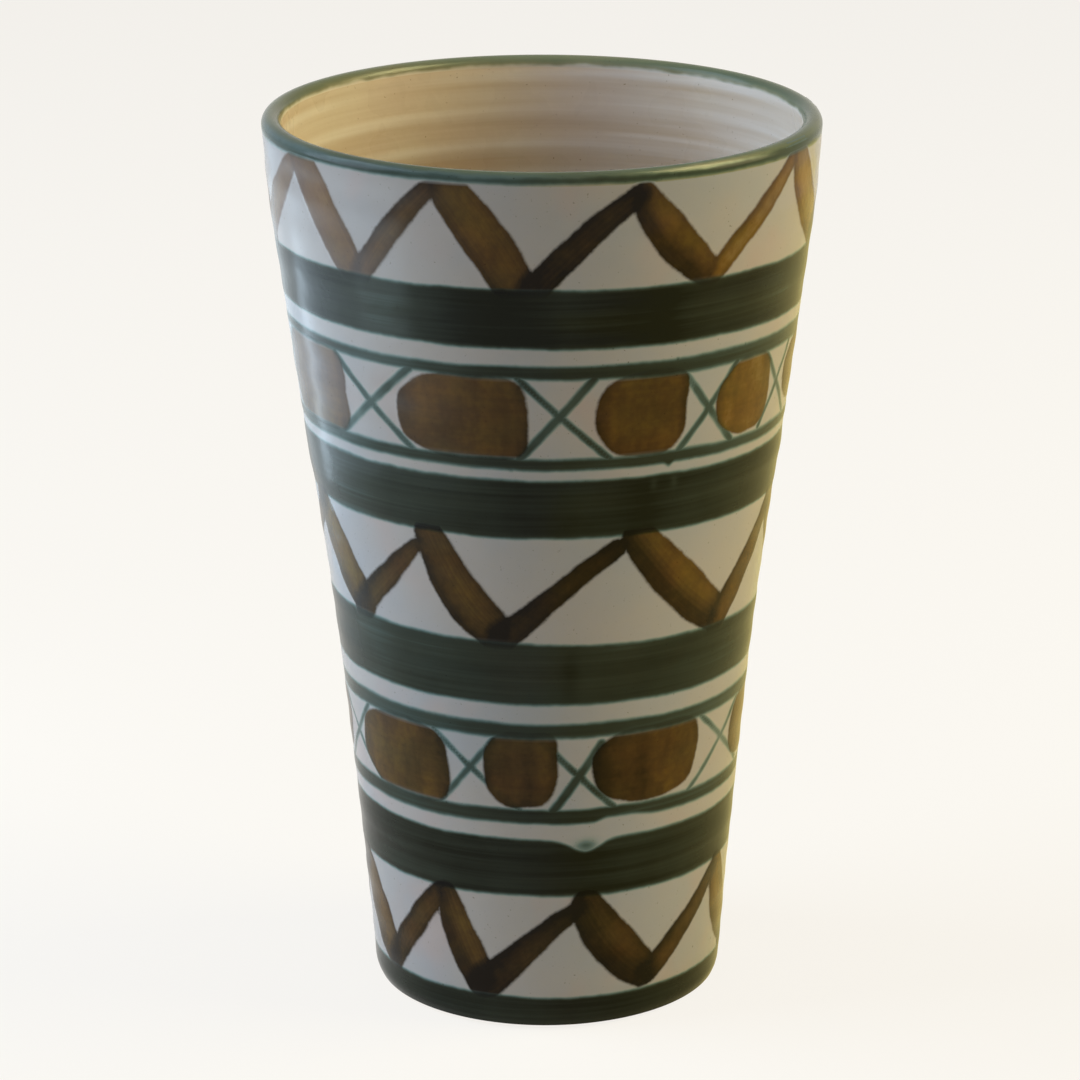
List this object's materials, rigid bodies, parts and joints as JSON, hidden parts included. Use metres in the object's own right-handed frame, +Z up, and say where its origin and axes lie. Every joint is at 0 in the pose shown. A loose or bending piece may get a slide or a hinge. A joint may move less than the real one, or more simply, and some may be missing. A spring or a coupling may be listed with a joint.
{
  "type": "cornet vase",
  "caption": "Tall flared vase of hand-thrown glazed earthenware, painted with green bands, brown zigzags, and ovals between green crosses.",
  "frame": {"origin": "middle of the foot, on the surface that the vase stands on", "axes": "+Z up the axis of the vase, towards the mouth; -Y towards the painted side in the picture, +X to its right"},
  "size_m": [0.1282, 0.1282, 0.21],
  "materials": {
    "bare_clay": "bare fired earthenware, matt",
    "inside_white_glaze": "cream glaze over throwing rings, glossy",
    "outside_white_glaze": "white glaze, glossy",
    "green_paint": "brushed copper green under a glossy surface",
    "green_line_paint": "thin brushed copper green under a glossy surface",
    "brown_paint": "brushed iron brown under a glossy surface"
  },
  "bodies": {
    "root": {"clay_body": "bare_clay", "inside_glaze": "inside_white_glaze", "outside_glaze": "outside_white_glaze", "rim_band": "green_paint", "foot_band": "green_paint", "green_band_1": "green_paint", "green_band_2": "green_paint", "green_band_3": "green_paint", "green_band_4": "green_paint", "lattice_upper": "green_line_paint", "lattice_lower": "green_line_paint", "zigzag_top": "brown_paint", "zigzag_middle": "brown_paint", "zigzag_bottom": "brown_paint", "oval_upper_1": "brown_paint", "oval_upper_2": "brown_paint", "oval_upper_3": "brown_paint", "oval_upper_4": "brown_paint", "oval_upper_5": "brown_paint", "oval_upper_6": "brown_paint", "oval_upper_7": "brown_paint", "oval_upper_8": "brown_paint", "oval_upper_9": "brown_paint", "oval_lower_1": "brown_paint", "oval_lower_2": "brown_paint", "oval_lower_3": "brown_paint", "oval_lower_4": "brown_paint", "oval_lower_5": "brown_paint", "oval_lower_6": "brown_paint", "oval_lower_7": "brown_paint", "oval_lower_8": "brown_paint"}
  },
  "joints": []
}
